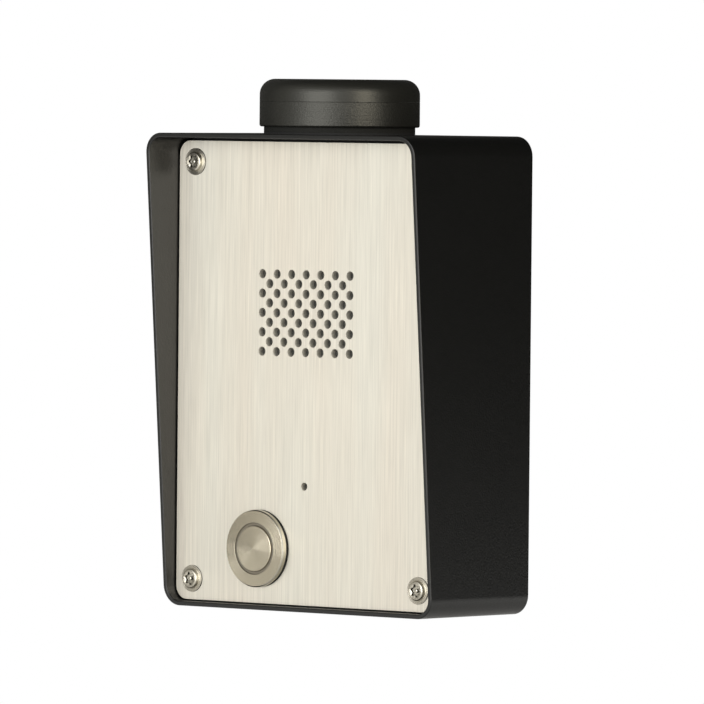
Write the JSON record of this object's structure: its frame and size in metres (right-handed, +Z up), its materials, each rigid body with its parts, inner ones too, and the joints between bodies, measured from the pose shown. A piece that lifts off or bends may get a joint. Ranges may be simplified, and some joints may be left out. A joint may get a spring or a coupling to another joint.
{
  "type": "gsm gate intercom",
  "caption": "Wall-mounted gate intercom: hooded black housing, brushed steel faceplate with speaker grille, sprung call button and puck antenna.",
  "frame": {"origin": "the housing's rear face, which lies on the wall, level with the faceplate's middle", "axes": "+X to the right seen from the front, +Y into the wall, +Z up"},
  "size_m": [0.116, 0.0579, 0.1713],
  "materials": {
    "housing_paint": "fine-textured black powder coat",
    "plate_steel": "vertically brushed stainless steel",
    "screw_steel": "plain stainless steel",
    "button_steel": "spun stainless steel",
    "zinc_steel": "zinc-plated steel",
    "antenna_plastic": "satin black moulding",
    "switch_plastic": "black moulding",
    "black_rubber": "black rubber",
    "foam": "closed-cell foam",
    "light_lens": "translucent, unlit",
    "dust_mesh": "fine grey mesh",
    "brass": "plain brass",
    "copper": "enamelled copper",
    "board_green": "green solder mask",
    "shield_can": "tinned shield",
    "ferrite": "pressed ferrite",
    "cone_paper": "coated paper",
    "relay_blue": "blue moulding",
    "terminal_green": "green moulding",
    "can_sleeve": "plain dark sleeve",
    "nylon": "natural nylon",
    "lead_black": "black insulation",
    "lead_red": "red insulation"
  },
  "bodies": {
    "case": {"housing": "housing_paint", "seat_frame": "zinc_steel", "clinch_nuts": "zinc_steel", "faceplate_gasket": "foam", "faceplate": "plate_steel", "faceplate_screws": "screw_steel", "faceplate_studs": "zinc_steel", "speaker_mesh": "dust_mesh", "speaker_gasket": "foam", "speaker_basket": "zinc_steel", "speaker_surround": "black_rubber", "speaker_cone": "cone_paper", "speaker_dust_cap": "cone_paper", "speaker_voice_coil": "copper", "speaker_top_plate": "zinc_steel", "speaker_magnet": "ferrite", "speaker_yoke": "zinc_steel", "speaker_clamps": "zinc_steel", "speaker_nuts": "zinc_steel", "mic_mesh": "dust_mesh", "mic_boot": "black_rubber", "mic_capsule": "shield_can", "button_bezel": "button_steel", "button_seal": "black_rubber", "button_light_ring": "light_lens", "button_spring": "zinc_steel", "contact_carrier": "switch_plastic", "terminal_base": "switch_plastic", "button_terminals": "brass", "button_nut": "zinc_steel", "main_board": "board_green", "board_standoffs": "brass", "board_screws": "zinc_steel", "gsm_module": "shield_can", "sim_holder": "switch_plastic", "relay": "relay_blue", "terminal_block": "terminal_green", "terminal_screws": "zinc_steel", "capacitors": "can_sleeve", "board_headers": "nylon", "lead_plugs": "nylon", "antenna_socket": "brass", "antenna_cap": "antenna_plastic", "antenna_base": "antenna_plastic", "antenna_pad": "foam", "antenna_board": "board_green", "antenna_element": "brass", "antenna_stud": "zinc_steel", "antenna_washer": "zinc_steel", "antenna_nut": "zinc_steel", "antenna_coax": "lead_black", "coax_plug": "brass", "speaker_lead": "lead_red", "mic_lead": "lead_black", "button_lead": "lead_red", "cable_grommet": "black_rubber"},
    "call_button": {"button_cap": "button_steel", "button_plunger": "switch_plastic", "contact_bridge": "brass"}
  },
  "joints": [
    {"name": "button_press", "type": "slide", "parent": "case", "child": "call_button", "axis": [0, 1, 0], "range_m": [0, 0.002], "stiffness_N_per_m": 900, "springref_m": -0.002, "deforming": ["button_spring"]}
  ]
}
